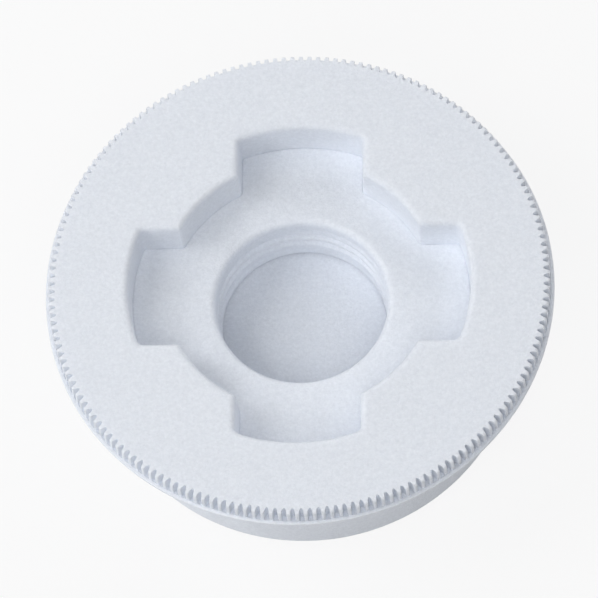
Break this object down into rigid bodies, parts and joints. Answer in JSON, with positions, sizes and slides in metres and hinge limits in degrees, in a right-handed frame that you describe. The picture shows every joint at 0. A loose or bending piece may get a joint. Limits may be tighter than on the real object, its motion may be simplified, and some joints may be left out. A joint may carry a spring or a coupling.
{
  "type": "drum bung",
  "caption": "White moulded plastic drum bung with a knurled round flange, a lobed wrench recess, a threaded blind socket and a threaded body.",
  "frame": {"origin": "centre of the lower end of the body, on which the bung stands", "axes": "+Z along the bung's axis, out of the top face; +X and +Y through the middles of two lobes of the wrench recess"},
  "size_m": [0.071, 0.071, 0.0232],
  "materials": {
    "white_plastic": "matte, finely grained moulding"
  },
  "bodies": {
    "root": {"bung": "white_plastic"}
  },
  "joints": []
}
